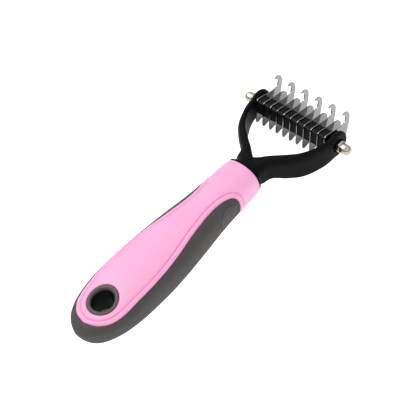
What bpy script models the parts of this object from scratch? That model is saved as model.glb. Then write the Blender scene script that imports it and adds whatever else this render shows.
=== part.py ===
"""Undercoat rake: a clamped pack of steel blades in a Y fork, on a two-colour grip.

X runs along the tie rod, +Y points from the butt to the blades, and +Z is the side the long hooks rise on.
The origin lies under the middle of the rake, level with its lowest point.
"""
import math

import bmesh
import bpy
from mathutils import Matrix, Vector

MM = 0.001
GAP = 0.3 * MM

# Handle: stations are distances behind the collar's rim.
HANDLE_LENGTH = 123.8 * MM
RIM_Y = 32.65 * MM
RIM_LEAN = 0.09
RIM_LEAN_LENGTH = 15.0 * MM
HANDLE_Z = 12.2 * MM
WALL = 2.3 * MM
BUTT_START = 90.0 * MM
BUTT_POWER = 2.65
BUTT_ROUND = 7.0 * MM
HALF_WIDTHS = ((0, 10.15), (3.5, 11.0), (8, 11.4), (20, 11.9), (32, 13.0), (46, 14.8), (60, 16.3), (75, 17.4),
               (90, 17.4), (124, 17.2))
HALF_HEIGHTS = ((0, 9.3), (8, 9.7), (20, 9.9), (32, 10.1), (45, 10.8), (65, 12.0), (80, 12.1),
                (92, 11.1), (103, 8.8), (124, 6.0))
SQUARENESS_ABOVE = ((0, 2.3), (20, 2.25), (42, 2.35), (60, 2.3), (75, 2.3), (88, 2.5), (100, 2.75),
                    (124, 3.0))
SQUARENESS_BELOW = ((0, 3.4), (12, 3.4), (24, 3.2), (36, 3.0), (48, 2.85), (60, 2.75), (85, 2.6), (124, 3.0))
PANEL_EDGE = ((16.0, 15.1), (13.6, 15.5), (12.0, 16.3), (10.8, 17.4), (9.7, 19.2), (8.8, 22.4),
              (8.2, 27), (8.2, 33), (9.1, 41),
              (10.9, 52), (12.8, 62), (14.25, 74), (14.8, 87), (14.5, 98), (13.6, 106), (11.3, 112.3),
              (6.6, 117), (0.0, 119))

# Hanging eye near the butt.
EYE_STATION = 104.5 * MM
EYE_HOLE_RADIUS = 6.2 * MM
EYE_RING_RADIUS = 8.4 * MM
EYE_RING_THICKNESS = 1.6 * MM

# Fork: rails are measured from the rod's middle, the right arm's inner and outer sides in plan.
ROD_Y = RIM_Y + 42.6 * MM
ROD_Z = HANDLE_Z - 1.0 * MM
NECK_HALF_WIDTH = 8.3 * MM
NECK_HALF_HEIGHT = 7.3 * MM
NECK_SQUARENESS = (2.7, 2.7)
FLARE = ((-34.7, 7.0, 5.6), (-37.0, 7.9, 6.3), (-39.0, 8.4, 7.0), (-40.6, 8.9, 7.7), (-41.6, 9.4, 8.3),
         (-42.3, 9.9, 9.1))
FLARE_SQUARENESS = (2.3, 3.2)
INNER_RAIL = ((0, -34.3), (2.2, -32.8), (6.3, -29.2), (12.0, -25.0), (18.0, -19.8), (21.9, -13.8),
              (23.7, -8.4), (25.1, 0))
OUTER_RAIL = ((0, -46.0), (7.9, -40.0), (9.9, -33.6), (16.3, -28.0), (21.9, -21.8), (25.5, -14.0),
              (27.3, -8.0), (27.6, 0.5))
ARM_TOPS = (7.0, 7.0, 7.3, 7.6, 7.6, 7.3, 7.1, 7.0)
ARM_BOTTOMS = (-6.0, -6.0, -6.4, -7.5, -8.1, -8.0, -7.4, -7.0)
SHOULDER_DEPTH = 4.6 * MM
UNDERCUT_DEPTH = 4.0 * MM
SHOULDER_SHARE = 0.5
UNDERCUT_SHARE = 0.5
ARM_ROUNDING = 1.4 * MM
BOSS_RADIUS = 7.6 * MM
BOSS_INNER_X = 24.6 * MM
BOSS_OUTER_X = 27.8 * MM
NUT_POCKET_RADIUS = 3.95 * MM
NUT_POCKET_FLOOR_X = 26.3 * MM

# Blade pack, in its own plane: first number towards the tooth backs, second up.
PACK_TILT = math.radians(16.0)
BLADE_COUNT = 11
BLADE_PITCH = 4.6 * MM
BLADE_THICKNESS = 0.55 * MM
ROD_RADIUS = 1.5 * MM
ROD_HALF_LENGTH = 32.4 * MM
END_WASHER_RADIUS = 4.2 * MM
SPACER_OUTLINE = ((-6.0, -1.9), (-3.7, -4.2), (3.0, -4.2), (3.0, 3.0), (0.7, 5.9), (-5.0, 6.0), (-6.0, 5.0))
FRONT_EDGE = ((-4.6, 6.65), (-5.8, 6.2), (-6.35, 5.2), (-6.4, 2.5), (-6.3, -0.5), (-6.2, -3.5),
              (-6.15, -6.3))
TOOTH_TIP = ((-5.9, -8.0), (-5.1, -9.1), (-3.9, -9.0))
TRAILING_EDGE = ((-1.2, -7.9), (3.5, -6.8), (7.8, -6.2), (10.4, -5.2), (11.8, -3.2), (12.6, -0.3))
HOOK_BACK = ((13.1, 2.0), (13.5, 5.5), (13.7, 8.9), (13.1, 11.5), (11.7, 13.3), (9.8, 14.0))
HOOK_TIP = ((8.3, 13.9), (7.4, 13.5), (7.3, 12.8))
HOOK_FRONT = ((8.6, 12.3), (9.8, 11.3), (10.2, 9.8), (9.8, 8.2), (8.5, 6.9), (6.4, 6.3), (3.4, 6.2),
              (0.2, 6.4))
LOBE = ((13.1, 1.8), (12.9, 3.2), (12.0, 4.8), (10.2, 6.1), (8.0, 6.5), (4.4, 6.3), (0.2, 6.4))

# Cap nuts.
NUT_ACROSS_FLATS = 6.3 * MM
NUT_SEAT_X = NUT_POCKET_FLOOR_X + GAP
NUT_HEX_LENGTH = 3.7 * MM
NUT_SHOULDER_RADIUS = 3.0 * MM
NUT_DOME_RADIUS = 2.85 * MM
NUT_DOME_X = 33.0 * MM

# Facets of the round pieces, and how far the cutting tools run past the pieces they cut.
GRIP_FACETS = 40
CORE_FACETS = 24
ROD_FACETS = 20
CUT_REACH = 20 * MM
BORE_REACH = 3 * MM

BLACK_PLASTIC = ("black_plastic", (0.016, 0.016, 0.017, 1.0), 0.5, 0.0)
SPACER_PLASTIC = ("spacer_plastic", (0.010, 0.010, 0.011, 1.0), 0.55, 0.0)
PINK_PLASTIC = ("pink_plastic", (0.98, 0.47, 0.77, 1.0), 0.35, 0.0)
GREY_RUBBER = ("grey_rubber", (0.085, 0.08, 0.077, 1.0), 0.75, 0.0)
BLADE_STEEL = ("blade_steel", (0.45, 0.45, 0.46, 1.0), 0.3, 1.0)
ROD_STEEL = ("rod_steel", (0.5, 0.5, 0.5, 1.0), 0.35, 1.0)
NUT_NICKEL = ("nut_nickel", (0.62, 0.58, 0.52, 1.0), 0.15, 1.0)


def clear_scene():
    for item in list(bpy.data.objects):
        bpy.data.objects.remove(item, do_unlink=True)


def material(spec):
    name, colour, roughness, metallic = spec
    found = bpy.data.materials.get(name)
    if found:
        return found
    made = bpy.data.materials.new(name)
    made.use_nodes = True
    made.diffuse_color = colour
    shader = made.node_tree.nodes["Principled BSDF"]
    shader.inputs["Base Color"].default_value = colour
    shader.inputs["Roughness"].default_value = roughness
    shader.inputs["Metallic"].default_value = metallic
    return made


def add_object(name, mesh_builder, spec=None, smooth_degrees=35.0):
    """Turn a bmesh into a named object; without a material it is a hidden cutter."""
    mesh = bpy.data.meshes.new(name)
    bmesh.ops.recalc_face_normals(mesh_builder, faces=mesh_builder.faces)
    mesh_builder.to_mesh(mesh)
    mesh_builder.free()
    item = bpy.data.objects.new(name, mesh)
    bpy.context.scene.collection.objects.link(item)
    if spec:
        mesh.materials.append(material(spec))
        mesh.shade_smooth()
        mesh.set_sharp_from_angle(angle=math.radians(smooth_degrees))
    else:
        item.hide_render = True
        item.display_type = "WIRE"
    return item


def combine(target, tool, operation):
    step = target.modifiers.new(operation.lower() + "_" + tool.name, "BOOLEAN")
    step.operation = operation
    step.solver = "EXACT"
    step.object = tool


def smooth_through(points, steps):
    """Points along a curve that passes smoothly through the given ones."""
    ends = [points[0]] + list(points) + [points[-1]]
    curve = []
    for before, start, end, after in zip(ends, ends[1:], ends[2:], ends[3:]):
        for step in range(steps):
            t = step / steps
            curve.append(tuple(
                0.5 * (2 * b + (c - a) * t + (2 * a - 5 * b + 4 * c - d) * t ** 2
                       + (3 * b - a - 3 * c + d) * t ** 3)
                for a, b, c, d in zip(before, start, end, after)))
    curve.append(tuple(points[-1]))
    return curve


def value_at(knots, station):
    """A smooth value at a station in metres, from knots of (station, value) in millimetres."""
    curve = smooth_through(knots, 6)
    place = station / MM
    for (s0, v0), (s1, v1) in zip(curve, curve[1:]):
        if place <= s1:
            return (v0 + (v1 - v0) * (place - s0) / (s1 - s0)) * MM
    return curve[-1][1] * MM


def handle_size(station):
    """Half width, half height and squareness (above, below) of the handle at a station behind the rim."""
    width = value_at(HALF_WIDTHS, station)
    height = value_at(HALF_HEIGHTS, station)
    squareness = (value_at(SQUARENESS_ABOVE, station) / MM, value_at(SQUARENESS_BELOW, station) / MM)
    if station > BUTT_START:
        along = (station - BUTT_START) / (HANDLE_LENGTH - BUTT_START)
        width *= math.sqrt(max(0.0, 1.0 - along ** BUTT_POWER))
    into_round = (station - HANDLE_LENGTH + BUTT_ROUND) / BUTT_ROUND
    if into_round > 0.0:
        height *= math.sqrt(max(0.0, 1.0 - into_round ** 2))
    return width, height, squareness


def signed_power(value, power):
    return math.copysign(abs(value) ** power, value)


def oval(bm, half_width, half_height, squareness, y, count):
    """A ring of vertices shaped as a squared-off oval across the handle, leaning back a little at the rim."""
    lean = RIM_LEAN * max(0.0, 1.0 - abs(RIM_Y - y) / RIM_LEAN_LENGTH)
    ring = []
    for index in range(count):
        angle = 2 * math.pi * index / count
        power = 2 / squareness[math.sin(angle) < 0]
        x = half_width * signed_power(math.cos(angle), power)
        z = half_height * signed_power(math.sin(angle), power)
        ring.append(bm.verts.new((x, y - lean * z, HANDLE_Z + z)))
    return ring


def loft(bm, rings):
    """Walls between neighbouring rings, and a flat cap on each end."""
    for ring, following in zip(rings, rings[1:]):
        for index in range(len(ring)):
            after = (index + 1) % len(ring)
            bm.faces.new((ring[index], ring[after], following[after], following[index]))
    bm.faces.new(rings[0])
    bm.faces.new(list(reversed(rings[-1])))


def handle_stations():
    """Stations from the rim to the butt, closer together where the butt rounds off."""
    straight = [BUTT_START * step / 12 for step in range(1, 12)]
    sweep = [math.sin(math.radians(angle)) for angle in (0, 11, 22, 33, 44, 54, 63, 71, 78, 84)]
    return straight + [BUTT_START + (HANDLE_LENGTH - BUTT_START) * part for part in sweep]


def handle_outside():
    """The grip's whole outer form, with a rounded rim in front."""
    bm = bmesh.new()
    rings = []
    for station, inset in ((0.0, 0.9 * MM), (0.25 * MM, 0.35 * MM), (0.9 * MM, 0.0)):
        width, height, squareness = handle_size(station)
        rings.append(oval(bm, width - inset, height - inset, squareness, RIM_Y - station, GRIP_FACETS))
    for station in handle_stations():
        width, height, squareness = handle_size(station)
        rings.append(oval(bm, width, height, squareness, RIM_Y - station, GRIP_FACETS))
    loft(bm, rings)
    return bm


def core_inside(clearance):
    """The moulded core that fills the grip, grown by a clearance when it is used to hollow the grip out."""
    bm = bmesh.new()
    rings = []
    neck_width = NECK_HALF_WIDTH + clearance
    neck_height = NECK_HALF_HEIGHT + clearance
    if clearance:
        rings.append(oval(bm, neck_width, neck_height, NECK_SQUARENESS, RIM_Y + 3.0 * MM, CORE_FACETS))
    else:
        for y, width, height in FLARE:
            rings.append(oval(bm, width * MM, height * MM, FLARE_SQUARENESS, ROD_Y + y * MM, CORE_FACETS))
        rings.append(oval(bm, neck_width, neck_height, NECK_SQUARENESS, RIM_Y + GAP, CORE_FACETS))
    rings.append(oval(bm, neck_width, neck_height, NECK_SQUARENESS, RIM_Y - 2.0 * MM, CORE_FACETS))
    for station in handle_stations()[:-3]:
        if station < 8.0 * MM:
            continue
        width, height, squareness = handle_size(station)
        inset = WALL - clearance
        rings.append(oval(bm, width - inset, height - inset, squareness, RIM_Y - station, CORE_FACETS))
    if clearance:
        last_y = rings[-1][0].co.y - clearance
        rings.append(oval(bm, width - inset, height - inset, squareness, last_y, CORE_FACETS))
    loft(bm, rings)
    return bm


def panel_prism(growth):
    """An upright block with the pink panel's outline: the collar, then a tongue that widens to the eye."""
    side = [(x * MM, u * MM) for x, u in smooth_through(PANEL_EDGE, 3)]
    outline = [(22 * MM, -3 * MM), (22 * MM, side[0][1])] + side
    outline += [(-x, u) for x, u in reversed(outline[:-1])]
    if growth:
        outline = offset_outline(outline, growth)
    bm = bmesh.new()
    low = [bm.verts.new((x, RIM_Y - u, HANDLE_Z - CUT_REACH)) for x, u in outline]
    high = [bm.verts.new((x, RIM_Y - u, HANDLE_Z + CUT_REACH)) for x, u in outline]
    loft(bm, [low, high])
    return bm


def offset_outline(outline, growth):
    """The same closed outline moved outwards by a constant distance."""
    moved = []
    count = len(outline)
    area = sum(a[0] * b[1] - b[0] * a[1] for a, b in zip(outline, outline[1:] + outline[:1]))
    side = math.copysign(1.0, area)
    for index in range(count):
        before = Vector(outline[index - 1])
        after = Vector(outline[(index + 1) % count])
        along = (after - before).normalized()
        place = outline[index]
        moved.append((place[0] + side * along.y * growth, place[1] - side * along.x * growth))
    return moved


def disc(radius, y, z0, z1, count=GRIP_FACETS):
    """An upright round bar."""
    bm = bmesh.new()
    rings = []
    for z in (z0, z1):
        angles = (2 * math.pi * index / count for index in range(count))
        rings.append([bm.verts.new((radius * math.cos(a), y + radius * math.sin(a), z)) for a in angles])
    loft(bm, rings)
    return bm


def turned(profile, count=32, side=1.0):
    """A closed body turned about the rod's axis from (x, radius) points; side -1 mirrors it."""
    bm = bmesh.new()
    rings = []
    for x, radius in profile:
        angles = (2 * math.pi * index / count for index in range(count))
        rings.append([bm.verts.new((side * x, ROD_Y + radius * math.cos(a), ROD_Z + radius * math.sin(a)))
                      for a in angles])
    loft(bm, rings)
    return bm


def arm_section(bm, inner, outer, bottom, top):
    """One cross-section of the fork between its rails, rounded broadly at its outer top and inner bottom."""
    inner = Vector((inner[0] * MM, ROD_Y + inner[1] * MM))
    outer = Vector((outer[0] * MM, ROD_Y + outer[1] * MM))
    across = outer - inner
    reach = across.length
    across.normalize()
    small = min(ARM_ROUNDING, 0.4 * reach)
    low = ROD_Z + bottom * MM
    high = ROD_Z + top * MM
    shoulder = (SHOULDER_SHARE * reach, SHOULDER_DEPTH)
    undercut = (UNDERCUT_SHARE * reach, UNDERCUT_DEPTH)
    corners = ((reach - shoulder[0], high - shoulder[1], shoulder, 0),
               (small, high - small, (small, small), 90),
               (undercut[0], low + undercut[1], undercut, 180),
               (reach - small, low + small, (small, small), 270))
    ring = []
    for centre_a, centre_z, radii, start in corners:
        for step in range(4):
            angle = math.radians(start + 30 * step)
            place = inner + across * (centre_a + radii[0] * math.cos(angle))
            ring.append(bm.verts.new((place.x, place.y, centre_z + radii[1] * math.sin(angle))))
    return ring


def fork_arms():
    """Both arms as one sweep, from one arm's end through the crotch to the other's."""
    knots = [(*i, *o, b, t) for i, o, b, t in zip(INNER_RAIL, OUTER_RAIL, ARM_BOTTOMS, ARM_TOPS)]
    rows = smooth_through(knots, 3)
    bm = bmesh.new()
    rings = []
    for side, part in ((-1, list(reversed(rows))), (1, rows[1:])):
        for ix, iy, ox, oy, bottom, top in part:
            rings.append(arm_section(bm, (side * ix, iy), (side * ox, oy), bottom, top))
    loft(bm, rings)
    return bm


def build_fork():
    fork = add_object("fork_frame", fork_arms(), BLACK_PLASTIC)
    combine(fork, add_object("core_tool", core_inside(0.0)), "UNION")
    edge = 0.9 * MM
    boss = [(BOSS_INNER_X, BOSS_RADIUS - edge), (BOSS_INNER_X + edge, BOSS_RADIUS),
            (BOSS_OUTER_X - edge, BOSS_RADIUS), (BOSS_OUTER_X, BOSS_RADIUS - edge)]
    bore = [(BOSS_INNER_X - BORE_REACH, ROD_RADIUS + GAP), (BOSS_OUTER_X + BORE_REACH, ROD_RADIUS + GAP)]
    pocket = [(NUT_POCKET_FLOOR_X, NUT_POCKET_RADIUS), (BOSS_OUTER_X + BORE_REACH, NUT_POCKET_RADIUS)]
    for label, side in (("left", -1.0), ("right", 1.0)):
        combine(fork, add_object("boss_" + label + "_tool", turned(boss, 36, side)), "UNION")
        combine(fork, add_object("bore_" + label + "_tool", turned(bore, ROD_FACETS, side)), "DIFFERENCE")
        combine(fork, add_object("pocket_" + label + "_tool", turned(pocket, 28, side)), "DIFFERENCE")
    hole = disc(EYE_HOLE_RADIUS, RIM_Y - EYE_STATION, HANDLE_Z - CUT_REACH, HANDLE_Z + CUT_REACH)
    combine(fork, add_object("eye_hole_tool", hole), "DIFFERENCE")


def build_grip():
    core = add_object("core_clearance_tool", core_inside(GAP))
    eye_y = RIM_Y - EYE_STATION
    shell = add_object("grip_shell", handle_outside(), PINK_PLASTIC)
    combine(shell, add_object("panel_tool", panel_prism(0.0)), "INTERSECT")
    combine(shell, core, "DIFFERENCE")
    ring_seat = disc(EYE_RING_RADIUS + GAP, eye_y, HANDLE_Z - CUT_REACH, HANDLE_Z + CUT_REACH)
    combine(shell, add_object("ring_seat_tool", ring_seat), "DIFFERENCE")
    sides = add_object("grip_sides", handle_outside(), GREY_RUBBER)
    combine(sides, add_object("panel_grown_tool", panel_prism(GAP)), "DIFFERENCE")
    combine(sides, core, "DIFFERENCE")


def eye_ring(name, side):
    """A flat-faced ring round the eye, lying along the sloping top or bottom of the grip."""
    _, height_front, _ = handle_size(EYE_STATION - EYE_RING_RADIUS)
    _, height_back, _ = handle_size(EYE_STATION + EYE_RING_RADIUS)
    eye_y = RIM_Y - EYE_STATION
    bm = bmesh.new()
    rings = []
    loops = ((EYE_HOLE_RADIUS, 0.0), (EYE_RING_RADIUS, 0.0), (EYE_RING_RADIUS, -EYE_RING_THICKNESS),
             (EYE_HOLE_RADIUS, -EYE_RING_THICKNESS))
    for radius, drop in loops:
        ring = []
        for index in range(GRIP_FACETS):
            angle = 2 * math.pi * index / GRIP_FACETS
            along = radius * math.sin(angle)
            share = 0.5 + 0.5 * along / EYE_RING_RADIUS
            height = height_back + (height_front - height_back) * share - 0.25 * MM + drop
            ring.append(bm.verts.new((radius * math.cos(angle), eye_y + along, HANDLE_Z + side * height)))
        rings.append(ring)
    for ring, following in zip(rings, rings[1:] + rings[:1]):
        for index in range(GRIP_FACETS):
            after = (index + 1) % GRIP_FACETS
            bm.faces.new((ring[index], ring[after], following[after], following[index]))
    add_object(name, bm, GREY_RUBBER)


def place_in_pack(item, x):
    """Stand a piece that was drawn in the pack's plane on the rod, at its place along it."""
    turn = Matrix(((0, 0, 1), (1, 0, 0), (0, 1, 0))).to_4x4()
    item.matrix_world = Matrix.Translation((x, ROD_Y, ROD_Z)) @ Matrix.Rotation(-PACK_TILT, 4, "X") @ turn


def plate_mesh(outline, thickness, hole_radius):
    """A flat plate with a round hole on the rod's axis, centred on its own mid plane."""
    bm = bmesh.new()
    outer = [bm.verts.new((a * MM, b * MM, -thickness / 2)) for a, b in outline]
    count = 20
    inner = []
    for index in range(count):
        angle = 2 * math.pi * index / count
        place = (hole_radius * math.cos(angle), hole_radius * math.sin(angle), -thickness / 2)
        inner.append(bm.verts.new(place))
    edges = []
    for loop in (outer, inner):
        for index in range(len(loop)):
            edges.append(bm.edges.new((loop[index], loop[(index + 1) % len(loop)])))
    bmesh.ops.triangle_fill(bm, use_beauty=True, use_dissolve=False, edges=edges)
    faces = bmesh.ops.extrude_face_region(bm, geom=list(bm.faces))["geom"]
    moved = [v for v in faces if isinstance(v, bmesh.types.BMVert)]
    bmesh.ops.translate(bm, verts=moved, vec=(0, 0, thickness))
    return bm


def blade_outline(hooked):
    top = HOOK_BACK + HOOK_TIP + HOOK_FRONT if hooked else LOBE
    outline = smooth_through(FRONT_EDGE + TOOTH_TIP, 2)[:-1]
    outline += smooth_through((TOOTH_TIP[-1],) + TRAILING_EDGE + top, 2)
    return outline


def build_pack():
    middle = (BLADE_COUNT + 1) / 2
    for number in range(1, BLADE_COUNT + 1):
        mesh = plate_mesh(blade_outline(number % 2 == 1), BLADE_THICKNESS, ROD_RADIUS + GAP)
        blade = add_object("blade_%02d" % number, mesh, BLADE_STEEL)
        place_in_pack(blade, (number - middle) * BLADE_PITCH)
    spacer_width = BLADE_PITCH - BLADE_THICKNESS - 2 * GAP
    for number in range(1, BLADE_COUNT):
        mesh = plate_mesh(SPACER_OUTLINE, spacer_width, ROD_RADIUS + GAP)
        spacer = add_object("spacer_%02d" % number, mesh, SPACER_PLASTIC)
        place_in_pack(spacer, (number + 0.5 - middle) * BLADE_PITCH)
    last_face = (BLADE_COUNT // 2) * BLADE_PITCH + BLADE_THICKNESS / 2
    washer_width = BOSS_INNER_X - last_face - 2 * GAP
    for label, side in (("left", -1), ("right", 1)):
        angles = (2 * math.pi * index / ROD_FACETS for index in range(ROD_FACETS))
        radius = END_WASHER_RADIUS / MM
        outline = [(radius * math.cos(a), radius * math.sin(a)) for a in angles]
        mesh = plate_mesh(outline, washer_width, ROD_RADIUS + GAP)
        washer = add_object("end_washer_" + label, mesh, SPACER_PLASTIC)
        place_in_pack(washer, side * (last_face + GAP + washer_width / 2))
    rod = [(-ROD_HALF_LENGTH, ROD_RADIUS - 0.3 * MM), (-ROD_HALF_LENGTH + 0.3 * MM, ROD_RADIUS),
           (ROD_HALF_LENGTH - 0.3 * MM, ROD_RADIUS), (ROD_HALF_LENGTH, ROD_RADIUS - 0.3 * MM)]
    add_object("tie_rod", turned(rod, ROD_FACETS), ROD_STEEL)


def cap_nut(name, side):
    """A hexagon with a domed cap, bored from the seat."""
    hex_radius = NUT_ACROSS_FLATS / math.sqrt(3)
    hex_end = NUT_SEAT_X + NUT_HEX_LENGTH
    nut = add_object(name, turned([(NUT_SEAT_X, hex_radius), (hex_end, hex_radius)], 6, side), NUT_NICKEL)
    chamfer = hex_radius - 0.25 * MM
    trim = [(NUT_SEAT_X - MM, chamfer + 0.9 * MM), (hex_end - 0.5 * MM, hex_radius),
            (hex_end + 0.2 * MM, chamfer - 0.45 * MM)]
    combine(nut, add_object(name + "_trim_tool", turned(trim, 30, side)), "INTERSECT")
    profile = [(hex_end - 0.4 * MM, NUT_SHOULDER_RADIUS - 0.2 * MM),
               (hex_end + 0.2 * MM, NUT_SHOULDER_RADIUS)]
    for angle in (0, 18, 36, 52, 66, 78, 86):
        turn = math.radians(angle)
        profile.append((NUT_DOME_X + NUT_DOME_RADIUS * math.sin(turn), NUT_DOME_RADIUS * math.cos(turn)))
    combine(nut, add_object(name + "_dome_tool", turned(profile, 24, side)), "UNION")
    bore = [(NUT_SEAT_X - MM, ROD_RADIUS + GAP), (ROD_HALF_LENGTH + GAP, ROD_RADIUS + GAP)]
    combine(nut, add_object(name + "_bore_tool", turned(bore, ROD_FACETS, side)), "DIFFERENCE")


def main():
    clear_scene()
    build_fork()
    build_grip()
    eye_ring("eye_ring_top", 1.0)
    eye_ring("eye_ring_bottom", -1.0)
    build_pack()
    cap_nut("cap_nut_left", -1.0)
    cap_nut("cap_nut_right", 1.0)


main()
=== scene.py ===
"""Looks of the undercoat rake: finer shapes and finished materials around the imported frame.

Sizes are in millimetres, as stations behind the collar's rim for the grip and as distances from the tie rod
for the head. They turn into metres where a mesh is made.
"""
import math

import bmesh
import bpy
import numpy as np
from mathutils import Matrix, Vector


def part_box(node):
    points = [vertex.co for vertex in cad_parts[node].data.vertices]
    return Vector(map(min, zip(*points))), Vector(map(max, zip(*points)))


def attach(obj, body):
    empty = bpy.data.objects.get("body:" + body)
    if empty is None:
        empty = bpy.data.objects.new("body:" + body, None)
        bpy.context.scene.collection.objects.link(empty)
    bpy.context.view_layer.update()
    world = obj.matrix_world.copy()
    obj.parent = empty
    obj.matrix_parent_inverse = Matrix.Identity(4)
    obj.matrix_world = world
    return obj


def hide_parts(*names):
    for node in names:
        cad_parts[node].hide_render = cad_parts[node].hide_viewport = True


MM = 0.001

# Grip: outer form, as in the frame.
HANDLE_LENGTH = 123.8
RIM_Y = 32.65
RIM_LEAN = 0.09
RIM_LEAN_LENGTH = 15.0
HANDLE_Z = 12.2
BUTT_START = 90.0
BUTT_POWER = 2.65
BUTT_ROUND = 7.0
HALF_WIDTHS = ((0, 10.15), (3.5, 11.0), (8, 11.4), (20, 11.9), (32, 13.0), (46, 14.8), (60, 16.3), (75, 17.4),
               (90, 17.4), (124, 17.2))
HALF_HEIGHTS = ((0, 9.3), (8, 9.7), (20, 9.9), (32, 10.1), (45, 10.8), (65, 12.0), (80, 12.1),
                (92, 11.1), (103, 8.8), (124, 6.0))
SQUARENESS_ABOVE = ((0, 2.3), (20, 2.25), (42, 2.35), (60, 2.3), (75, 2.3), (88, 2.5), (100, 2.75),
                    (124, 3.0))
SQUARENESS_BELOW = ((0, 3.4), (12, 3.4), (24, 3.2), (36, 3.0), (48, 2.85), (60, 2.75), (85, 2.6), (124, 3.0))
PANEL_EDGE = ((16.0, 15.1), (13.6, 15.5), (12.0, 16.3), (10.8, 17.4), (9.7, 19.2), (8.8, 22.4), (8.2, 27),
              (8.2, 33), (9.1, 41), (10.9, 52), (12.8, 62), (14.25, 74), (14.8, 87), (14.5, 98), (13.6, 106),
              (11.3, 112.3), (6.6, 117), (0.0, 119))
RIM_ROWS = ((2.6, 1.75), (0.5, 1.7), (0.12, 1.5), (0.0, 1.15), (0.02, 0.7), (0.16, 0.32), (0.45, 0.08))
RIM_END = 0.9
GRID_STEP = 0.42
QUARTER_COLUMNS = 54
ROW_SAMPLES = 300
SECTION_SAMPLES = 240
BUTT_SWEEP = 0.9995
SMALLEST_HALF = 0.01
SEAM_STEPS = 40
SEAM_BATCHES = 12
BEYOND_SEAM = 99.0

# Columns of the grip's point data: place, outward normal, then distances from the seam and the eye's edge.
STATION = 1
UP = 2
SEAM = 6
EYE = 7

# Relief of the grip, by distance from the seam between shell and sides.
SEAM_DEPTH = 0.55
SEAM_REACH = 0.6
LIP_HEIGHT = 0.28
LIP_AT = 1.25
LIP_HALF = 1.1
GROOVE_DEPTH = 0.5
GROOVE_AT = 2.75
GROOVE_HALF = 0.6
PAD_STATION = 25.6
PAD_HALF_LENGTH = 7.2
PAD_HALF_HEIGHT = 5.4
PAD_LINE_HALF = 0.4
PAD_LINE_DEPTH = 0.45
EYE_EDGE_DEPTH = 0.35
EYE_EDGE_REACH = 0.5

# Painted shade of the grip: strength and reach of each darker band.
GROOVE_SHADE = 0.75
GROOVE_SHADE_HALF = 0.54
SEAM_SHADE = 0.5
SEAM_SHADE_REACH = 0.5
EYE_SHADE = 0.4
EYE_SHADE_REACH = 0.4
PAD_SHADE_REACH = 0.5

# Hanging eye.
EYE_STATION = 104.5
EYE_HOLE_RADIUS = 6.2
EYE_LOW_RADIUS = 5.3
EYE_SEAT_RADIUS = 8.5
EYE_WALL_OUTER_RADIUS = 7.6
EYE_WALL_INSET = 1.6
RING_TAPER_FROM = 8.4
RING_PROFILE = ((8.42, -1.2), (8.4, -0.3), (8.22, -0.04), (7.9, 0.08), (7.4, 0.12), (6.9, 0.06),
                (6.55, -0.12), (6.32, -0.5), (6.22, -1.1), (6.2, -2.4), (8.0, -2.4))
RING_FACETS = 72

# Fork, from the rod's middle.
NECK_ROWS = ((-34.7, 7.0, 5.6), (-37.0, 7.9, 6.3), (-39.0, 8.4, 7.0), (-40.6, 8.9, 7.7), (-41.6, 9.4, 8.4),
             (-42.3, 10.8, 10.0), (-42.4, 8.2, 7.3), (-58.0, 8.2, 7.3))
NECK_SQUARENESS = (2.3, 3.2)
INNER_RAIL = ((0, -34.3), (2.2, -32.8), (6.3, -29.2), (12.0, -25.0), (18.0, -19.8), (21.9, -13.8),
              (23.7, -8.4), (25.1, 0))
OUTER_RAIL = ((0, -46.0), (7.9, -40.0), (9.9, -33.6), (16.3, -28.0), (21.9, -21.8), (25.5, -14.0),
              (27.3, -8.0), (27.6, 0.5))
ARM_TOPS = (7.0, 7.0, 7.3, 7.6, 7.6, 7.3, 7.1, 7.0)
ARM_BOTTOMS = (-6.0, -6.0, -6.4, -7.5, -8.1, -8.0, -7.4, -7.0)
SHOULDER_DEPTH = 4.6
UNDERCUT_DEPTH = 4.0
SHOULDER_SHARE = 0.5
UNDERCUT_SHARE = 0.5
ARM_ROUNDING = 1.4
BOSS_RADIUS = 7.6
BOSS_INNER_X = 24.6
BOSS_OUTER_X = 27.8
BOSS_EDGE = 0.9
NUT_POCKET_RADIUS = 3.95
NUT_POCKET_FLOOR_X = 26.3
FORK_VOXEL = 0.34
FORK_SMOOTHING = 22
FORK_SMOOTH_FACTOR = 0.5
ARM_STEPS = 6
CORNER_STEPS = 6
NECK_FACETS = 48
FINE_FACETS = 64
BORE_FACETS = 32
CUT_PAST = 3.0

# Blade pack, in its own plane: first number towards the tooth backs, second up.
PACK_TILT = math.radians(16.0)
BLADE_COUNT = 11
BLADE_PITCH = 4.6
BLADE_THICKNESS = 0.55
BLADE_BEVEL = 0.1
BLADE_BEVEL_ANGLE = math.radians(50)
ROD_RADIUS = 1.5
GAP = 0.3
SPACER_OUTLINE = ((-6.0, -1.9), (-3.7, -4.2), (3.0, -4.2), (3.0, 3.0), (0.7, 5.9), (-5.0, 6.0), (-6.0, 5.0))
SPACER_RIDGES = 4
SPACER_GROOVE = 0.12
FRONT_EDGE = ((-4.6, 6.65), (-5.8, 6.2), (-6.35, 5.2), (-6.4, 2.5), (-6.3, -0.5), (-6.2, -3.5),
              (-6.15, -6.3))
TOOTH_TIP = ((-5.9, -8.0), (-5.1, -9.1), (-3.9, -9.0))
TRAILING_EDGE = ((-1.2, -7.9), (3.5, -6.8), (7.8, -6.2), (10.4, -5.2), (11.8, -3.2), (12.6, -0.3))
HOOK_BACK = ((13.1, 2.0), (13.5, 5.5), (13.7, 8.9), (13.1, 11.5), (11.7, 13.3), (9.8, 14.0))
HOOK_TIP = ((8.3, 13.9), (7.4, 13.5), (7.3, 12.8))
HOOK_FRONT = ((8.6, 12.3), (9.8, 11.3), (10.2, 9.8), (9.8, 8.2), (8.5, 6.9), (6.4, 6.3), (3.4, 6.2),
              (0.2, 6.4))
LOBE = ((13.1, 1.8), (12.9, 3.2), (12.0, 4.8), (10.2, 6.1), (8.0, 6.5), (4.4, 6.3), (0.2, 6.4))

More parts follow.
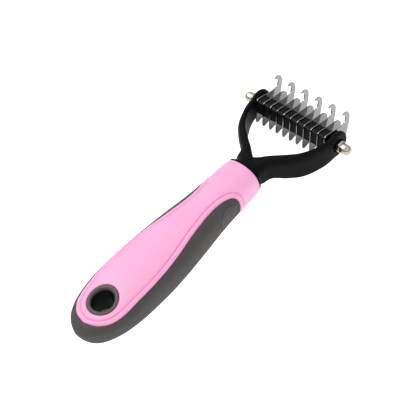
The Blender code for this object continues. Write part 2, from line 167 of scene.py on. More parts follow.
# Every material: a slightly darker second tone, and the scales of its colour and roughness variation.
SECOND_TONE = 0.93
TONE_SCALE = 90.0
ROUGHNESS_SCALE = 400.0
NOISE_LOW = 0.3
NOISE_HIGH = 0.7

# Painted shade on the plates, standing in for the dark reflections of the parts around them: a base for each
# kind, then more on the body and most on the tooth.
HOOKED_PAINTED_SHADE = 0.1
LOBED_PAINTED_SHADE = 0.27
BODY_PAINTED_SHADE = 0.12
BODY_BACK = 9.5
BODY_FADE = 2.0
TOOTH_PAINTED_SHADE = 0.6
TOOTH_RISE = -2.0
TOOTH_FADE = 2.5

# Cap nuts.
NUT_ACROSS_FLATS = 6.3
NUT_HEX_LENGTH = 3.7
NUT_SHOULDER_RADIUS = 3.0
NUT_DOME_RADIUS = 2.85
NUT_DOME_X = 33.0
NUT_BEVEL = 0.1
NUT_BEVEL_ANGLE = math.radians(25)
NUT_CHAMFER_START = 0.55
NUT_CHAMFER_DROP = 0.75
NUT_TRIM_PAST = 0.6
NUT_FACE_PAST = 0.2
NUT_NECK_SUNK = 0.4
NUT_NECK_DROP = 0.2

# Studio: a wide floor just below the object and a sky that is dimmer near the horizon. Each light has a name,
# a place in metres, a side in metres and a power.
FLOOR_HALF = 4000.0
FLOOR_Z = -0.2
FLOOR_GLOW = 1.1
SKY_LOW = (0.05, (0.30, 0.30, 0.31, 1.0))
SKY_HIGH = (0.6, (1.0, 1.0, 1.0, 1.0))
SKY_STRENGTH = 1.05
LIGHTS = (("key", (-0.85, 0.05, 1.0), 1.1, 6.0), ("fill", (0.9, -0.6, 0.8), 1.0, 1.5),
          ("glint", (-0.50, -0.36, 0.74), 0.22, 3.0))

# Camera: direction towards the tie rod's middle, turn about the view, and the rod's place in the picture.
CAMERA_AZIMUTH = math.radians(52.58)
CAMERA_ELEVATION = math.radians(50.4)
CAMERA_ROLL = math.radians(-14.0)
CAMERA_ASIDE = 46.77
CAMERA_ABOVE = 44.61
CAMERA_DISTANCE = 900.0
CAMERA_LENS = 148.77


# ---------------------------------------------------------------- curves and meshes

def curve_through(points, steps):
    """Points along a curve that passes smoothly through the given ones."""
    knots = np.array([points[0], *points, points[-1]], float)
    t = np.arange(steps)[:, None] / steps
    pieces = []
    for a, b, c, d in zip(knots, knots[1:], knots[2:], knots[3:]):
        bend = (2 * a - 5 * b + 4 * c - d) * t ** 2 + (3 * b - a - 3 * c + d) * t ** 3
        pieces.append(0.5 * (2 * b + (c - a) * t + bend))
    return np.vstack([*pieces, knots[-1:]])


def value_at(knots, station):
    curve = curve_through(knots, 12)
    return np.interp(station, curve[:, 0], curve[:, 1])


def smooth_step(value):
    value = np.clip(value, 0.0, 1.0)
    return value * value * (3 - 2 * value)


def bump_at(distance, middle, half):
    """A round hump of height one around a middle distance."""
    return 1 - smooth_step(np.abs(distance - middle) / half)


def make_piece(name, mesh, body, look, sharp_degrees=40.0):
    """Finish a mesh as a named piece that rides on a CAD body."""
    piece = bpy.data.objects.new(name, mesh)
    bpy.context.scene.collection.objects.link(piece)
    mesh.materials.clear()
    mesh.materials.append(look)
    mesh.shade_smooth()
    mesh.set_sharp_from_angle(angle=math.radians(sharp_degrees))
    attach(piece, body)
    return piece


def mesh_of(name, points, faces):
    """A mesh from points in millimetres."""
    mesh = bpy.data.meshes.new(name)
    mesh.from_pydata([tuple(p) for p in np.asarray(points) * MM], [], faces)
    mesh.update()
    return mesh


def scratch(name, bm):
    """A temporary object from a bmesh in millimetres."""
    bmesh.ops.recalc_face_normals(bm, faces=bm.faces)
    mesh = bpy.data.meshes.new(name)
    bm.to_mesh(mesh)
    bm.free()
    item = bpy.data.objects.new(name, mesh)
    bpy.context.scene.collection.objects.link(item)
    return item


def combine(target, tool, operation):
    step = target.modifiers.new(operation, "BOOLEAN")
    step.operation = operation
    step.solver = "EXACT"
    step.object = tool


def baked(item, tools, name):
    """The item's finished mesh in metres; the item and its tools go."""
    graph = bpy.context.evaluated_depsgraph_get()
    mesh = bpy.data.meshes.new_from_object(item.evaluated_get(graph))
    mesh.name = name
    mesh.transform(Matrix.Scale(MM, 4))
    for gone in (item, *tools):
        bpy.data.objects.remove(gone, do_unlink=True)
    return mesh


def loft(bm, rings):
    """Walls between neighbouring rings, and a flat cap on each end."""
    for ring, following in zip(rings, rings[1:]):
        for index in range(len(ring)):
            after = (index + 1) % len(ring)
            bm.faces.new((ring[index], ring[after], following[after], following[index]))
    bm.faces.new(rings[0])
    bm.faces.new(list(reversed(rings[-1])))


def turned(profile, count, side=1.0):
    """A closed body turned about the rod's axis from (x, radius) points; side -1 mirrors it."""
    bm = bmesh.new()
    rings = []
    for x, radius in profile:
        angles = (2 * math.pi * index / count for index in range(count))
        rings.append([bm.verts.new((side * x, ROD[1] + radius * math.cos(a), ROD[2] + radius * math.sin(a)))
                      for a in angles])
    loft(bm, rings)
    return bm


# ---------------------------------------------------------------- materials

class Look:
    """A Principled material that is built up node by node in object space."""

    def __init__(self, name, colour, roughness, metallic=0.0, **extra):
        self.material = bpy.data.materials.new(name)
        self.material.use_nodes = True
        self.tree = self.material.node_tree
        self.shader = self.tree.nodes["Principled BSDF"]
        self.shader.inputs["Metallic"].default_value = metallic
        for socket, value in extra.items():
            self.shader.inputs[socket.replace("_", " ")].default_value = value
        self.coordinates = self.tree.nodes.new("ShaderNodeTexCoord").outputs["Object"]
        self.colour = self.variation(colour, tuple(SECOND_TONE * c for c in colour), TONE_SCALE)
        self.spread_roughness(roughness, ROUGHNESS_SCALE)
        self.bump = None

    def noise(self, scale, detail=3.0, stretch=(1.0, 1.0, 1.0)):
        mapping = self.tree.nodes.new("ShaderNodeMapping")
        mapping.inputs["Scale"].default_value = stretch
        texture = self.tree.nodes.new("ShaderNodeTexNoise")
        texture.inputs["Scale"].default_value = scale
        texture.inputs["Detail"].default_value = detail
        self.tree.links.new(self.coordinates, mapping.inputs["Vector"])
        self.tree.links.new(mapping.outputs["Vector"], texture.inputs["Vector"])
        return texture.outputs["Fac"]

    def mix(self, factor, first, second):
        """A colour between two, each a colour or a socket."""
        node = self.tree.nodes.new("ShaderNodeMix")
        node.data_type = "RGBA"
        self.tree.links.new(factor, node.inputs["Factor"])
        for socket, value in ((node.inputs[6], first), (node.inputs[7], second)):
            if isinstance(value, tuple):
                socket.default_value = (*value, 1.0)
            else:
                self.tree.links.new(value, socket)
        return node.outputs[2]

    def paint(self, colour):
        self.colour = colour
        self.tree.links.new(colour, self.shader.inputs["Base Color"])
        return colour

    def variation(self, first, second, scale):
        """Soft, slow variation between two near colours."""
        return self.paint(self.mix(self.noise(scale), first, second))

    def spread_roughness(self, limits, scale, stretch=(1.0, 1.0, 1.0)):
        node = self.tree.nodes.new("ShaderNodeMapRange")
        node.inputs["From Min"].default_value = NOISE_LOW
        node.inputs["From Max"].default_value = NOISE_HIGH
        node.inputs["To Min"].default_value = limits[0]
        node.inputs["To Max"].default_value = limits[1]
        self.tree.links.new(self.noise(scale, 4.0, stretch), node.inputs["Value"])
        self.tree.links.new(node.outputs["Result"], self.shader.inputs["Roughness"])

    def grain(self, scale, depth, detail=3.0, stretch=(1.0, 1.0, 1.0)):
        """Fine relief; depth is in metres. A second call lies over the first."""
        node = self.tree.nodes.new("ShaderNodeBump")
        node.inputs["Distance"].default_value = depth
        self.tree.links.new(self.noise(scale, detail, stretch), node.inputs["Height"])
        if self.bump:
            self.tree.links.new(self.bump, node.inputs["Normal"])
        self.bump = node.outputs["Normal"]
        self.tree.links.new(self.bump, self.shader.inputs["Normal"])

    def tint_where(self, attribute, colour):
        """Shift the colour towards another one by a painted attribute of the mesh."""
        node = self.tree.nodes.new("ShaderNodeAttribute")
        node.attribute_name = attribute
        self.paint(self.mix(node.outputs["Fac"], self.colour, colour))


def make_looks():
    pink = Look("pink_shell", (0.88, 0.385, 0.63), (0.36, 0.46), IOR=1.45)
    pink.tint_where("shade", (0.86, 0.19, 0.42))
    pink.grain(1800.0, 0.00002)
    grey = Look("grey_rubber", (0.058, 0.053, 0.050), (0.58, 0.72), Specular_IOR_Level=0.3)
    grey.tint_where("shade", (0.059, 0.054, 0.060))
    grey.grain(2600.0, 0.00004, 4.0)
    grey.grain(500.0, 0.00003)
    ring = Look("ring_rubber", (0.088, 0.076, 0.070), (0.5, 0.62), Specular_IOR_Level=0.3)
    ring.grain(2200.0, 0.00003, 4.0)
    black = Look("black_nylon", (0.0037, 0.0035, 0.0040), (0.42, 0.54), Specular_IOR_Level=0.055)
    black.grain(2200.0, 0.00003, 4.0)
    black.grain(260.0, 0.00003)
    spacer = Look("spacer_nylon", (0.005, 0.005, 0.0055), (0.3, 0.42), Specular_IOR_Level=0.08)
    spacer.grain(1500.0, 0.00002)
    steel = Look("blade_steel", (0.28, 0.28, 0.285), (0.06, 0.12), metallic=1.0)
    # The plates' painted shade: the dark colour that their painted reflections reach on the body and tooth.
    steel.tint_where("shade", (0.045, 0.044, 0.045))
    steel.spread_roughness((0.06, 0.13), 260.0, (1.0, 0.25, 6.0))
    steel.grain(700.0, 0.000006, 4.0, (1.0, 0.2, 5.0))
    rod = Look("rod_steel", (0.5, 0.5, 0.5), (0.22, 0.36), metallic=1.0)
    rod.grain(900.0, 0.00001, 4.0, (5.0, 1.0, 1.0))
    nickel = Look("nickel_plate", (0.43, 0.39, 0.335), (0.10, 0.18), metallic=1.0)
    nickel.grain(1400.0, 0.000008, 4.0)
    return {"pink": pink, "grey": grey, "ring": ring, "black": black, "spacer": spacer, "steel": steel,
            "rod": rod, "nickel": nickel}


# ---------------------------------------------------------------- grip

def handle_size(station):
    """Half width, half height and squareness above and below of the grip at stations behind the rim."""
    width = value_at(HALF_WIDTHS, station)
    height = value_at(HALF_HEIGHTS, station)
    along = np.clip((station - BUTT_START) / (HANDLE_LENGTH - BUTT_START), 0, 1)
    into_round = np.clip((station - HANDLE_LENGTH + BUTT_ROUND) / BUTT_ROUND, 0, 1)
    width = width * np.sqrt(1 - along ** BUTT_POWER)
    height = height * np.sqrt(1 - into_round ** 2)
    return width, height, value_at(SQUARENESS_ABOVE, station), value_at(SQUARENESS_BELOW, station)


def surface_height(x, station, side=1.0):
    """Distance of the grip's top (side 1) or underside (side -1) from its middle plane."""
    width, height, above, below = handle_size(station)
    squareness = above if side > 0 else below
    inside = np.clip(1 - np.abs(x / width) ** squareness, 0, 1)
    return height * inside ** (1 / squareness)


def grip_rows():
    """(station, inset) of every row of the grip's surface, evenly spaced over it from the rim to the butt."""
    sweep = np.sin(np.linspace(0, math.pi / 2, ROW_SAMPLES))
    fine = np.concatenate([np.linspace(RIM_END, BUTT_START, ROW_SAMPLES)[:-1],
                           BUTT_START + (HANDLE_LENGTH - BUTT_START) * BUTT_SWEEP * sweep])
    width, height, _, _ = handle_size(fine)
    steps = np.sqrt(np.diff(fine) ** 2 + np.diff(width) ** 2 + np.diff(height) ** 2)
    length = np.concatenate([[0], np.cumsum(steps)])
    even = np.interp(np.linspace(0, length[-1], int(length[-1] / GRID_STEP)), length, fine)
    return list(RIM_ROWS) + [(station, 0.0) for station in even]


def quarter_section(width, height, squareness):
    """Evenly spaced (x, z) points of a section's first quarter, from the side to the top."""
    angle = np.linspace(0, math.pi / 2, SECTION_SAMPLES)
    x = width * np.cos(angle) ** (2 / squareness)
    z = height * np.sin(angle) ** (2 / squareness)
    length = np.concatenate([[0], np.cumsum(np.hypot(np.diff(x), np.diff(z)))])
    even = np.linspace(0, length[-1], QUARTER_COLUMNS + 1)
    return np.interp(even, length, x), np.interp(even, length, z)


def grip_surface():
    """Points (x, station, z) of the whole grip on a grid of rows and columns, with outward normals."""
    rows = []
    for station, inset in grip_rows():
        width, height, above, below = handle_size(station)
        size = (max(width - inset, SMALLEST_HALF), max(height - inset, SMALLEST_HALF))
        x, z = quarter_section(*size, above)
        low_x, low_z = quarter_section(*size, below)
        around_x = np.concatenate([x[:-1], -x[:0:-1], -low_x[:-1], low_x[:0:-1]])
        around_z = np.concatenate([z[:-1], z[:0:-1], -low_z[:-1], -low_z[:0:-1]])
        rows.append(np.column_stack([around_x, np.full(len(around_x), station), around_z]))
    points = np.array(rows)
    along = np.gradient(points, axis=0)
    around = np.roll(points, -1, axis=1) - np.roll(points, 1, axis=1)
    normals = np.cross(along, around)
    normals /= np.maximum(np.linalg.norm(normals, axis=2, keepdims=True), 1e-9)
    count = points.shape[1]
    faces = []
    for row in range(points.shape[0] - 1):
        for column in range(count):
            after = (column + 1) % count
            low = row * count
            faces.append([low + column, low + after, low + count + after, low + count + column])
    faces.append([(points.shape[0] - 1) * count + column for column in range(count)])
    return points.reshape(-1, 3), normals.reshape(-1, 3), faces


def seam_line(side):
    """The seam between shell and sides on one side of the middle plane, as dense (x, station, z) points."""
    edge = curve_through(PANEL_EDGE, SEAM_STEPS)
    width, _, _, _ = handle_size(edge[:, 1])
    edge = edge[edge[:, 0] < width]
    return np.column_stack([edge[:, 0], edge[:, 1], surface_height(edge[:, 0], edge[:, 1], side)])


def seam_distance(points):
    """Distance of points from the seam: positive on the shell, negative on the sides."""
    folded = np.abs(points)
    nearest = np.empty(len(points))
    for side in (1.0, -1.0):
        line = seam_line(side)
        chosen = np.flatnonzero((points[:, 2] >= 0) == (side > 0))
        for part in np.array_split(chosen, SEAM_BATCHES):
            gaps = np.linalg.norm(folded[part, None, :] - line[None, :, :], axis=2)
            nearest[part] = gaps.min(axis=1)
    edge = curve_through(PANEL_EDGE, SEAM_STEPS)
    limit = np.interp(folded[:, 1], edge[:, 1], edge[:, 0], left=BEYOND_SEAM, right=-BEYOND_SEAM)
    return np.where(folded[:, 0] < limit, nearest, -nearest)


def split_faces(data, faces, column):
    """Cut faces along the line where a column of the points' data is zero; give the data and both sides."""
    rows = list(data)
    cuts = {}
    sides = ([], [])
    for face in faces:
        values = [rows[corner][column] for corner in face]
        if min(values) >= 0:
            sides[0].append(face)
            continue
        if max(values) <= 0:
            sides[1].append(face)
            continue
        for side, sign in zip(sides, (1, -1)):
            loop = []
            for here, there in zip(face, face[1:] + face[:1]):
                if sign * rows[here][column] >= 0:
                    loop.append(here)
                if rows[here][column] * rows[there][column] < 0:
                    key = (min(here, there), max(here, there))
                    if key not in cuts:
                        low, high = rows[key[0]], rows[key[1]]
                        cuts[key] = len(rows)
                        rows.append(low + (high - low) * low[column] / (low[column] - high[column]))
                    loop.append(cuts[key])
            if len(loop) > 2:
                side.append(loop)
    return np.array(rows), sides[0], sides[1]


def grip_piece(name, data, faces, relief, shade, slot, look, *nodes):
    """One side of the cut grip with its relief along the normals and its painted shade."""
    used = sorted({corner for face in faces for corner in face})
    place = {corner: index for index, corner in enumerate(used)}
    kept = data[used]
    points = kept[:, 0:3] + kept[:, 3:6] * relief(kept)[:, None]
    lean = RIM_LEAN * np.maximum(0.0, 1.0 - points[:, 1] / RIM_LEAN_LENGTH)
    along = RIM_Y - points[:, 1] - lean * points[:, 2]
    world = np.column_stack([points[:, 0], along, HANDLE_Z + points[:, 2]])
    mesh = mesh_of(name, world, [[place[corner] for corner in face] for face in faces])
    paint = mesh.attributes.new("shade", "FLOAT", "POINT")
    paint.data.foreach_set("value", shade(kept))
    piece = make_piece(name, mesh, "handle", look, 60.0)
    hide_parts(*nodes)
    return piece


def shell_relief(data):
    """A lip along the seam and a groove inside it, and rounded edges at the seam and the eye."""
    seam = data[:, SEAM]
    edge = -SEAM_DEPTH * (1 - smooth_step(seam / SEAM_REACH))
    edge = edge - EYE_EDGE_DEPTH * (1 - smooth_step(data[:, EYE] / EYE_EDGE_REACH))
    lip = LIP_HEIGHT * bump_at(seam, LIP_AT, LIP_HALF)
    return edge + lip - GROOVE_DEPTH * bump_at(seam, GROOVE_AT, GROOVE_HALF)


def shell_shade(data):
    """Darker in the groove, along the seam and round the eye."""
    groove = GROOVE_SHADE * bump_at(data[:, SEAM], GROOVE_AT, GROOVE_SHADE_HALF)
    seam = SEAM_SHADE * (1 - smooth_step(data[:, SEAM] / SEAM_SHADE_REACH))
    return groove + seam + EYE_SHADE * (1 - smooth_step(data[:, EYE] / EYE_SHADE_REACH))


def pad_distance(data):
    """Distance inside the outline of the thumb pad on each side of the grip; negative outside it."""
    along = (data[:, STATION] - PAD_STATION) / PAD_HALF_LENGTH
    up = data[:, UP] / PAD_HALF_HEIGHT
    return (1 - np.hypot(along, up)) * PAD_HALF_HEIGHT


def sides_relief(data):
    edge = -SEAM_DEPTH * (1 - smooth_step(-data[:, SEAM] / SEAM_REACH))
    return edge - PAD_LINE_DEPTH * bump_at(pad_distance(data), 0.0, PAD_LINE_HALF)


def sides_shade(data):
    return smooth_step(pad_distance(data) / PAD_SHADE_REACH)


def build_grip(looks):
    points, normals, faces = grip_surface()
    eye = np.hypot(points[:, 0], points[:, 1] - EYE_STATION) - EYE_SEAT_RADIUS
    data = np.column_stack([points, normals, seam_distance(points), eye])
    data, faces, _ = split_faces(data, faces, EYE)
    data, shell, sides = split_faces(data, faces, SEAM)
    grip_piece("shell", data, shell, shell_relief, shell_shade, "pink_plastic", looks["pink"].material,
               "grip_shell")
    grip_piece("sides", data, sides, sides_relief, sides_shade, "grey_rubber", looks["grey"].material,
               "grip_sides")


def build_eye(looks):
    """A rounded rubber ring on each face of the grip, and the moulded wall of the hole between them.

    The hole is narrower at the underside, so the lower ring's inner half is drawn in with it.
    """
    angles = np.linspace(0, 2 * math.pi, RING_FACETS, endpoint=False)
    for name, side in (("top", 1.0), ("bottom", -1.0)):
        points = []
        for radius, rise in RING_PROFILE:
            if side < 0:
                share = min(1.0, (RING_TAPER_FROM - radius) / (RING_TAPER_FROM - EYE_HOLE_RADIUS))
                radius -= (EYE_HOLE_RADIUS - EYE_LOW_RADIUS) * share
            x = radius * np.cos(angles)
            station = EYE_STATION - radius * np.sin(angles)
            z = side * (surface_height(x, station, side) + rise)
            points.append(np.column_stack([x, RIM_Y - station, HANDLE_Z + z]))
        faces = ring_faces(len(RING_PROFILE), RING_FACETS, side > 0)
        mesh = mesh_of("eye_trim_" + name, np.vstack(points), faces)
        ring = make_piece("eye_trim_" + name, mesh, "handle", looks["ring"].material, 60.0)
        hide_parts("eye_ring_" + name)
    wall = []
    section = ((EYE_HOLE_RADIUS, 1.0), (EYE_LOW_RADIUS, -1.0),
               (EYE_WALL_OUTER_RADIUS, -1.0), (EYE_WALL_OUTER_RADIUS, 1.0))
    for radius, side in section:
        x = radius * np.cos(angles)
        station = EYE_STATION - radius * np.sin(angles)
        z = side * (surface_height(x, station, side) - EYE_WALL_INSET)
        wall.append(np.column_stack([x, RIM_Y - station, HANDLE_Z + z]))
    mesh = mesh_of("eye_wall", np.vstack(wall), ring_faces(len(section), RING_FACETS, False))
    piece = make_piece("eye_wall", mesh, "handle", looks["black"].material, 60.0)
    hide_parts("fork_frame")


def ring_faces(rows, columns, flip):
    """Faces of a closed ring whose section has the given rows."""
    faces = []
    for row in range(rows):
        for column in range(columns):
            after = (column + 1) % columns
            low, high = row * columns, (row + 1) % rows * columns
            face = [low + column, low + after, high + after, high + column]
            faces.append(face[::-1] if flip else face)
    return faces


# ---------------------------------------------------------------- fork

def arm_section(bm, inner, outer, bottom, top):
    """One cross-section of the fork between its rails, rounded broadly at its outer top and inner bottom."""
    inner = Vector((inner[0], ROD[1] + inner[1]))
    outer = Vector((outer[0], ROD[1] + outer[1]))
    across = outer - inner
    reach = across.length
    across.normalize()
    small = min(ARM_ROUNDING, 0.4 * reach)
    low = ROD[2] + bottom
    high = ROD[2] + top
    shoulder = (SHOULDER_SHARE * reach, SHOULDER_DEPTH)
    undercut = (UNDERCUT_SHARE * reach, UNDERCUT_DEPTH)
    corners = ((reach - shoulder[0], high - shoulder[1], shoulder, 0),
               (small, high - small, (small, small), 90),
               (undercut[0], low + undercut[1], undercut, 180),
               (reach - small, low + small, (small, small), 270))
    ring = []
    for centre_a, centre_z, radii, start in corners:
        for step in range(CORNER_STEPS + 1):
            angle = math.radians(start + 90 * step / CORNER_STEPS)
            place = inner + across * (centre_a + radii[0] * math.cos(angle))
            ring.append(bm.verts.new((place.x, place.y, centre_z + radii[1] * math.sin(angle))))
    return ring


def fork_arms():
    """Both arms as one sweep, from one arm's end through the crotch to the other's."""
    knots = [(*i, *o, b, t) for i, o, b, t in zip(INNER_RAIL, OUTER_RAIL, ARM_BOTTOMS, ARM_TOPS)]
    rows = curve_through(knots, ARM_STEPS).tolist()
    bm = bmesh.new()
    rings = []
    for side, part in ((-1, list(reversed(rows))), (1, rows[1:])):
        for ix, iy, ox, oy, bottom, top in part:
            rings.append(arm_section(bm, (side * ix, iy), (side * ox, oy), bottom, top))
    loft(bm, rings)
    return bm


def neck():
    """The neck between the fork and the handle, with its flare against the collar's rim."""
    bm = bmesh.new()
    rings = []
    for y, half_width, half_height in NECK_ROWS:
        lean = RIM_LEAN * max(0.0, 1.0 - abs(RIM_Y - ROD[1] - y) / RIM_LEAN_LENGTH)
        ring = []
        for index in range(NECK_FACETS):
            angle = 2 * math.pi * index / NECK_FACETS
            power = 2 / NECK_SQUARENESS[math.sin(angle) < 0]
            x = math.copysign(abs(math.cos(angle)) ** power, math.cos(angle)) * half_width
            z = math.copysign(abs(math.sin(angle)) ** power, math.sin(angle)) * half_height
            ring.append(bm.verts.new((x, ROD[1] + y - lean * z, HANDLE_Z + z)))
        rings.append(ring)
    loft(bm, rings)
    return bm


def build_fork(looks):
    """Arms, neck and bosses run together with soft fillets, then the bores and nut pockets cut clean."""
    fork = scratch("fork", fork_arms())
    tools = [scratch("neck_tool", neck())]
    combine(fork, tools[0], "UNION")
    boss = [(BOSS_INNER_X, BOSS_RADIUS - BOSS_EDGE), (BOSS_INNER_X + BOSS_EDGE, BOSS_RADIUS),
            (BOSS_OUTER_X - BOSS_EDGE, BOSS_RADIUS), (BOSS_OUTER_X, BOSS_RADIUS - BOSS_EDGE)]
    for side in (-1.0, 1.0):
        tools.append(scratch("boss_tool", turned(boss, FINE_FACETS, side)))
        combine(fork, tools[-1], "UNION")
    remesh = fork.modifiers.new("even", "REMESH")
    remesh.mode = "VOXEL"
    remesh.voxel_size = FORK_VOXEL
    fillets = fork.modifiers.new("fillets", "SMOOTH")
    fillets.factor = FORK_SMOOTH_FACTOR
    fillets.iterations = FORK_SMOOTHING
    bore = [(BOSS_INNER_X - CUT_PAST, ROD_RADIUS + GAP), (BOSS_OUTER_X + CUT_PAST, ROD_RADIUS + GAP)]
    pocket = [(NUT_POCKET_FLOOR_X, NUT_POCKET_RADIUS), (BOSS_OUTER_X + CUT_PAST, NUT_POCKET_RADIUS)]
    for side in (-1.0, 1.0):
        for profile, count in ((bore, BORE_FACETS), (pocket, FINE_FACETS)):
            tools.append(scratch("cut_tool", turned(profile, count, side)))
            combine(fork, tools[-1], "DIFFERENCE")
    mesh = baked(fork, tools, "fork")
    piece = make_piece("fork", mesh, "handle", looks["black"].material, 55.0)
    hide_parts("fork_frame")


# ---------------------------------------------------------------- blade pack

def place_in_pack(item, x):
    """Stand a piece that was drawn in the pack's plane on the rod, at its place along it."""
    turn = Matrix(((0, 0, 1), (1, 0, 0), (0, 1, 0))).to_4x4()
    spot = Vector((x, ROD[1], ROD[2])) * MM
    item.data.transform(Matrix.Translation(spot) @ Matrix.Rotation(-PACK_TILT, 4, "X") @ turn)


def blade_outline(hooked):
    top = HOOK_BACK + HOOK_TIP + HOOK_FRONT if hooked else LOBE
    front = curve_through(FRONT_EDGE + TOOTH_TIP, 4)[:-1]
    back = curve_through((TOOTH_TIP[-1],) + TRAILING_EDGE + top, 5)
    return np.vstack([front, back]).tolist()


def plate_bmesh(outline, thickness, hole_radius, facets=40):
    """A flat plate with a round hole on the rod's axis, centred on its own mid plane."""
    bm = bmesh.new()
    outer = [bm.verts.new((a, b, -thickness / 2)) for a, b in outline]
    inner = []
    for index in range(facets):
        angle = 2 * math.pi * index / facets
        across, up = hole_radius * math.cos(angle), hole_radius * math.sin(angle)
        inner.append(bm.verts.new((across, up, -thickness / 2)))
    edges = []
    for ring in (outer, inner):
        for index in range(len(ring)):
            edges.append(bm.edges.new((ring[index], ring[(index + 1) % len(ring)])))
    bmesh.ops.triangle_fill(bm, use_beauty=True, use_dissolve=False, edges=edges)
    raised = bmesh.ops.extrude_face_region(bm, geom=list(bm.faces))["geom"]
    moved = [corner for corner in raised if isinstance(corner, bmesh.types.BMVert)]
    bmesh.ops.translate(bm, verts=moved, vec=(0, 0, thickness))
    return bm


def blade_mesh(name, hooked):
    plate = scratch(name, plate_bmesh(blade_outline(hooked), BLADE_THICKNESS, ROD_RADIUS + GAP))
    edge = plate.modifiers.new("edge", "BEVEL")
    edge.width = BLADE_BEVEL
    edge.segments = 2
    edge.limit_method = "ANGLE"
    edge.angle_limit = BLADE_BEVEL_ANGLE
    edge.use_clamp_overlap = False
    return baked(plate, (), name)


def shade_blade(blade, base):
    """Paint shade into each corner of a plate for its dark reflections: light on the hook's stem, darker on
    the body and tooth.
    """
    shade = blade.data.attributes.new("shade", "FLOAT", "POINT")
    for corner, value in zip(blade.data.vertices, shade.data):
        back, rise = corner.co.x / MM, corner.co.y / MM
        body = BODY_PAINTED_SHADE * smooth_step((BODY_BACK - back) / BODY_FADE)
        tooth = TOOTH_PAINTED_SHADE * smooth_step((TOOTH_RISE - rise) / TOOTH_FADE)
        value.value = base + body + tooth


def spacer_mesh(name):
    """A block of moulded layers, with a fine groove between each two."""
    width = BLADE_PITCH - BLADE_THICKNESS - 2 * GAP
    layer = width / SPACER_RIDGES
    stations = []
    for index in range(SPACER_RIDGES):
        start = -width / 2 + index * layer
        stations.append((start, SPACER_GROOVE))
        stations.append((start + SPACER_GROOVE, 0.0))
        stations.append((start + layer - SPACER_GROOVE, 0.0))
    stations.append((width / 2, SPACER_GROOVE))
    middle = np.mean(SPACER_OUTLINE, axis=0)
    bm = bmesh.new()
    rings = []
    for x, inset in stations:
        ring = []
        for a, b in SPACER_OUTLINE:
            towards = np.sign(middle - (a, b)) * inset
            ring.append(bm.verts.new((a + towards[0], b + towards[1], x)))
        rings.append(ring)
    loft(bm, rings)
    return baked(scratch(name, bm), (), name)


def build_pack(looks):
    middle = (BLADE_COUNT + 1) / 2
    for number in range(1, BLADE_COUNT + 1):
        name = "plate_%02d" % number
        hooked = number % 2 == 1
        mesh = blade_mesh(name, hooked)
        blade = make_piece(name, mesh, "blade_head", looks["steel"].material, 22.0)
        # Painted shade for the plate's dark reflections, more on the lobed plates than on the hooked ones.
        shade_blade(blade, HOOKED_PAINTED_SHADE if hooked else LOBED_PAINTED_SHADE)
        place_in_pack(blade, (number - middle) * BLADE_PITCH)
        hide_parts("blade_%02d" % number)
    for number in range(1, BLADE_COUNT):
        name = "block_%02d" % number
        mesh = spacer_mesh(name)
        block = make_piece(name, mesh, "blade_head", looks["spacer"].material, 30.0)
        place_in_pack(block, (number + 0.5 - middle) * BLADE_PITCH)
        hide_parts("spacer_%02d" % number)


def build_nut(looks, label, side):
    """A chamfered hexagon with a tapering, domed cap."""
    seat = NUT_POCKET_FLOOR_X + GAP
    corner = NUT_ACROSS_FLATS / math.sqrt(3)
    hex_end = seat + NUT_HEX_LENGTH
    nut = scratch("nut", turned([(seat, corner), (hex_end, corner)], 6, side))
    trim = [(seat - 1, corner + NUT_TRIM_PAST), (hex_end - NUT_CHAMFER_START, corner),
            (hex_end + NUT_FACE_PAST, corner - NUT_CHAMFER_DROP)]
    dome = [(hex_end - NUT_NECK_SUNK, NUT_SHOULDER_RADIUS - NUT_NECK_DROP),
            (hex_end + NUT_FACE_PAST, NUT_SHOULDER_RADIUS)]
    for step in range(13):
        angle = math.radians(7 * step)
        dome.append((NUT_DOME_X + NUT_DOME_RADIUS * math.sin(angle), NUT_DOME_RADIUS * math.cos(angle)))
    tools = [scratch("trim_tool", turned(trim, FINE_FACETS, side)),
             scratch("dome_tool", turned(dome, FINE_FACETS, side))]
    combine(nut, tools[0], "INTERSECT")
    combine(nut, tools[1], "UNION")
    edge = nut.modifiers.new("edge", "BEVEL")
    edge.width = NUT_BEVEL
    edge.segments = 2
    edge.limit_method = "ANGLE"
    edge.angle_limit = NUT_BEVEL_ANGLE
    name = "acorn_nut_" + label
    mesh = baked(nut, tools, name)
    piece = make_piece(name, mesh, "blade_head", looks["nickel"].material, 28.0)
    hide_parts("cap_nut_" + label)


def finish_kept_nodes(looks):
    """The plain turned nodes keep their shape and take a finished material."""
    kept = {"tie_rod": "rod", "end_washer_left": "spacer", "end_washer_right": "spacer"}
    for node, look in kept.items():
        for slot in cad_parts[node].material_slots:
            slot.material = looks[look].material


# ---------------------------------------------------------------- stage

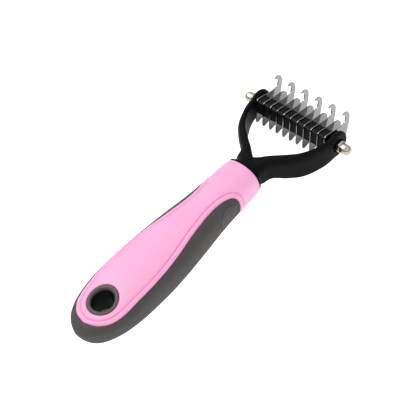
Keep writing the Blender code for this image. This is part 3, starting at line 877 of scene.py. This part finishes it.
def build_stage():
    """The pale paper floor, the sky and the soft lights. The glint shows only in shiny surfaces."""
    paper = Look("paper", (0.5, 0.5, 0.5), (0.85, 0.95), Specular_IOR_Level=0.1)
    paper.grain(60.0, 0.0001)
    paper.shader.inputs["Emission Color"].default_value = (1.0, 1.0, 1.0, 1.0)
    paper.shader.inputs["Emission Strength"].default_value = FLOOR_GLOW
    corners = [(x * FLOOR_HALF, y * FLOOR_HALF, FLOOR_Z) for x, y in ((-1, -1), (1, -1), (1, 1), (-1, 1))]
    floor = bpy.data.objects.new("floor", mesh_of("floor", corners, [[0, 1, 2, 3]]))
    floor.data.materials.append(paper.material)
    bpy.context.scene.collection.objects.link(floor)
    sky = bpy.data.worlds.new("studio")
    sky.use_nodes = True
    nodes, links = sky.node_tree.nodes, sky.node_tree.links
    split = nodes.new("ShaderNodeSeparateXYZ")
    ramp = nodes.new("ShaderNodeValToRGB")
    for stop, (position, colour) in zip(ramp.color_ramp.elements, (SKY_LOW, SKY_HIGH)):
        stop.position = position
        stop.color = colour
    links.new(nodes.new("ShaderNodeTexCoord").outputs["Generated"], split.inputs["Vector"])
    links.new(split.outputs["Z"], ramp.inputs["Fac"])
    links.new(ramp.outputs["Color"], nodes["Background"].inputs["Color"])
    nodes["Background"].inputs["Strength"].default_value = SKY_STRENGTH
    bpy.context.scene.world = sky
    bpy.context.scene.view_settings.view_transform = "Standard"
    for name, place, size, power in LIGHTS:
        light = bpy.data.lights.new(name, "AREA")
        light.size = size
        light.energy = power
        lamp = bpy.data.objects.new(name, light)
        lamp.location = place
        lamp.rotation_euler = (-Vector(place)).to_track_quat("-Z", "Y").to_euler()
        lamp.visible_diffuse = name != "glint"
        bpy.context.scene.collection.objects.link(lamp)


def build_camera():
    """A camera that looks along the given direction, rolled, with the rod off the picture's centre."""
    flat = math.cos(CAMERA_ELEVATION)
    forward = Vector((-math.sin(CAMERA_AZIMUTH) * flat, math.cos(CAMERA_AZIMUTH) * flat,
                      -math.sin(CAMERA_ELEVATION)))
    level = forward.cross(Vector((0, 0, 1))).normalized()
    upright = level.cross(forward)
    right = math.cos(CAMERA_ROLL) * level + math.sin(CAMERA_ROLL) * upright
    up = right.cross(forward)
    place = Vector(ROD) - right * CAMERA_ASIDE - up * CAMERA_ABOVE - forward * CAMERA_DISTANCE
    pose = Matrix((right, up, -forward)).transposed().to_4x4()
    pose.translation = place * MM
    lens = bpy.data.cameras.new("camera")
    lens.lens = CAMERA_LENS
    lens.clip_end = 20.0
    camera = bpy.data.objects.new("camera", lens)
    camera.matrix_world = pose
    bpy.context.scene.collection.objects.link(camera)
    bpy.context.scene.camera = camera


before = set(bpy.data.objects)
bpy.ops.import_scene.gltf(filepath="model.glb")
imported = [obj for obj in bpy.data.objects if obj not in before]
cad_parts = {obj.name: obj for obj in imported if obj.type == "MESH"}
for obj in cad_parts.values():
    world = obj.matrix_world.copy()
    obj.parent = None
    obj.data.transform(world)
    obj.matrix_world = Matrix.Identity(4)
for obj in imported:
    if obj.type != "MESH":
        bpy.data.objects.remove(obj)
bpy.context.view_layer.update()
rod_low, rod_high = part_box("tie_rod")
ROD = [(rod_low[axis] + rod_high[axis]) / 2 / MM for axis in range(3)]

looks = make_looks()
build_grip(looks)
build_eye(looks)
build_fork(looks)
build_pack(looks)
build_nut(looks, "left", -1.0)
build_nut(looks, "right", 1.0)
finish_kept_nodes(looks)
build_stage()
build_camera()
